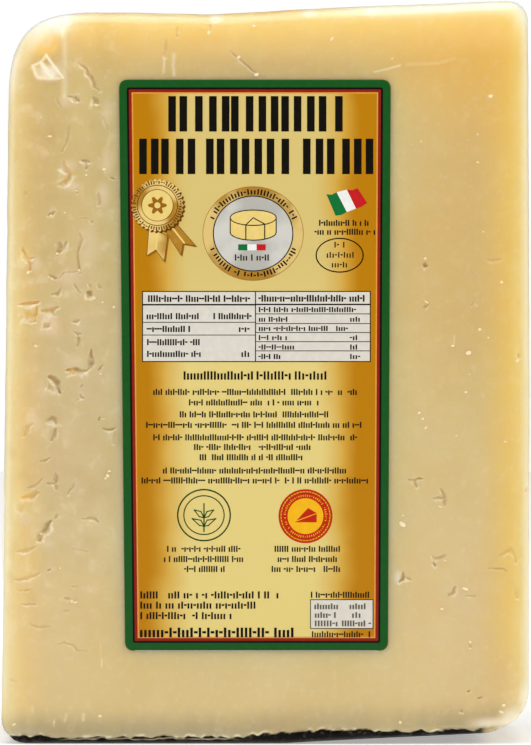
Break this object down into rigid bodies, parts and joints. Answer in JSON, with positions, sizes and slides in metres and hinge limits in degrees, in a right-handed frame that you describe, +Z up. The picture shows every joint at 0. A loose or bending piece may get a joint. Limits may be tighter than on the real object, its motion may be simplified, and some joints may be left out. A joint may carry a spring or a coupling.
{
  "type": "chunk of hard sheep's-milk cheese with a printed label",
  "caption": "Upright rounded block of hard pale cheese with small pockets, a dark rind base and a tall printed label on its front face.",
  "frame": {"origin": "middle of the base, on the surface the chunk stands on", "axes": "+Z up, -Y out of the labelled front face, +X to the right as the front is seen"},
  "size_m": [0.1041, 0.0583, 0.1462],
  "materials": {
    "cheese_paste": "moist, translucent, with a clear glossy film",
    "label_print": "satin varnish"
  },
  "bodies": {
    "root": {"cheese": "cheese_paste", "label": "label_print"}
  },
  "joints": []
}
